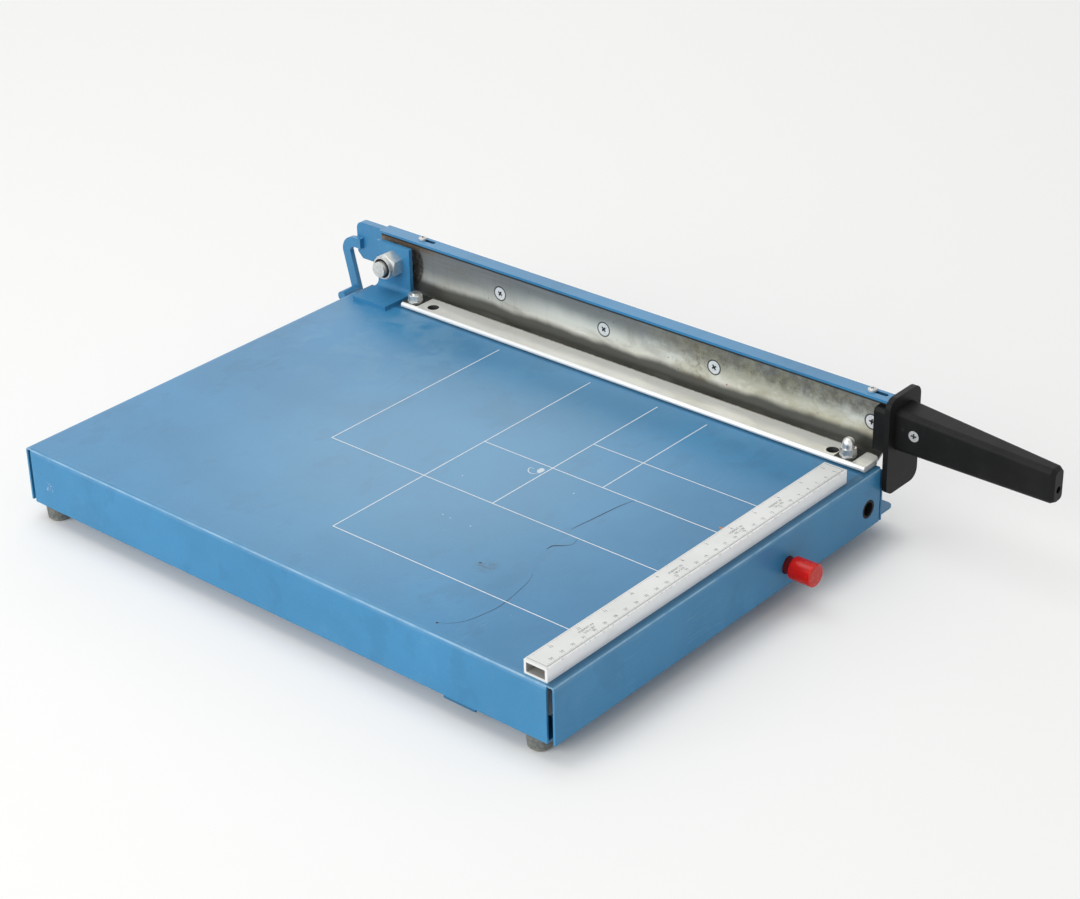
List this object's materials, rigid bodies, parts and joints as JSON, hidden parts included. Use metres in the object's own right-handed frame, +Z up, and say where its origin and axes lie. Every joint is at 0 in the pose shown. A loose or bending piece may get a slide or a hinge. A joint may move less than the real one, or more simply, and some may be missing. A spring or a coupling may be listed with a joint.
{
  "type": "paper cutter",
  "caption": "Lever paper cutter: folded steel table with ruler, hinged blade arm with handle, clamp strip that the opening arm lifts, and a push lock.",
  "frame": {"origin": "on the ground under the middle of the cutter with its arm down", "axes": "+X from the ruler's far end towards the blade, +Y from the handle to the pivot, +Z up"},
  "size_m": [0.3774, 0.638, 0.107],
  "materials": {
    "blue_paint": "satin enamel",
    "blade_steel": "ground, stained",
    "zinc": "zinc plated",
    "clamp_steel": "satin, scuffed",
    "bronze": "sintered",
    "black_plastic": "matt",
    "ruler_white": "satin white",
    "red_plastic": "gloss",
    "foot_rubber": "matt",
    "dark_pad": "matt",
    "spring_steel": "oiled wire"
  },
  "bodies": {
    "base": {"table_top": "blue_paint", "left_wall": "blue_paint", "front_wall": "blue_paint", "rear_wall": "blue_paint", "right_wall": "blue_paint", "fixed_blade": "blade_steel", "fixed_blade_screws": "zinc", "pivot_bracket": "blue_paint", "bracket_screws": "zinc", "pivot_bolt": "zinc", "pivot_nut": "zinc", "nut_ring": "black_plastic", "pivot_washers": "zinc", "ruler": "ruler_white", "ruler_screws": "zinc", "foot_front_left": "foot_rubber", "foot_rear_left": "foot_rubber", "foot_front_right": "foot_rubber", "foot_rear_right": "foot_rubber", "foot_screws": "zinc", "gauge_bush": "black_plastic", "stud_guides": "black_plastic", "crank_brackets": "blue_paint", "crank_pins": "zinc", "clamp_spring_front": "spring_steel", "clamp_spring_rear": "spring_steel", "lock_guide": "blue_paint", "lock_spring": "spring_steel", "lever_post": "zinc", "lever_clip": "zinc"},
    "arm": {"arm_bar": "blue_paint", "pivot_bush": "bronze", "upper_blade": "blade_steel", "blade_screws": "zinc", "top_cover": "blue_paint", "cover_screws": "zinc", "handle": "black_plastic", "handle_screw": "zinc", "tail_hook": "blue_paint", "arm_catch": "blue_paint", "catch_screws": "zinc"},
    "clamp": {"clamp_strip": "clamp_steel", "clamp_studs": "zinc", "clamp_nut": "zinc", "cap_nut": "zinc", "clamp_washers": "zinc", "clamp_pads": "dark_pad", "lift_plates": "zinc", "stud_nuts": "zinc"},
    "rear_crank": {"rear_crank": "blue_paint", "push_pin": "zinc"},
    "front_crank": {"front_crank": "blue_paint", "tie_pin": "zinc"},
    "tie": {"tie_rod": "blue_paint"},
    "lock": {"lock_knob": "red_plastic", "lock_rod": "zinc", "lock_collar": "zinc"},
    "lever": {"lock_lever": "blue_paint"}
  },
  "joints": [
    {"name": "arm_swing", "type": "hinge", "parent": "base", "child": "arm", "pos_m": [0.16382, 0.256, 0.0805], "axis": [-1, 0, 0], "range_deg": [0, 45]},
    {"name": "clamp_lift", "type": "slide", "parent": "base", "child": "clamp", "axis": [0, 0, 1], "range_m": [0, 0.00605], "deforming": ["clamp_spring_front", "clamp_spring_rear"]},
    {"name": "rear_crank_turn", "type": "hinge", "parent": "base", "child": "rear_crank", "pos_m": [0.13833, 0.249, 0.035], "axis": [-1, 0, 0], "range_deg": [0, 14.87]},
    {"name": "front_crank_turn", "type": "hinge", "parent": "base", "child": "front_crank", "pos_m": [0.13833, -0.15, 0.035], "axis": [-1, 0, 0], "range_deg": [0, 14.87]},
    {"name": "tie_turn", "type": "hinge", "parent": "rear_crank", "child": "tie", "pos_m": [0.13492, 0.25997, 0.0184], "axis": [-1, 0, 0], "range_deg": [-14.87, 0]},
    {"name": "lock_push", "type": "slide", "parent": "base", "child": "lock", "axis": [0, 1, 0], "range_m": [0, 0.0042], "stiffness_N_per_m": 400, "deforming": ["lock_spring"]},
    {"name": "lever_turn", "type": "hinge", "parent": "base", "child": "lever", "pos_m": [0.10182, -0.111, 0.035], "axis": [0, 0, -1], "range_deg": [0, 4.39]}
  ],
  "couplings": [
    {"joint": "clamp_lift", "follows": "arm_swing", "m_per_rad": 0.0076394},
    {"joint": "rear_crank_turn", "follows": "arm_swing", "ratio": 0.32827},
    {"joint": "front_crank_turn", "follows": "arm_swing", "ratio": 0.32827},
    {"joint": "tie_turn", "follows": "arm_swing", "ratio": -0.32827},
    {"joint": "lever_turn", "follows": "lock_push", "rad_per_m": 18.051}
  ]
}
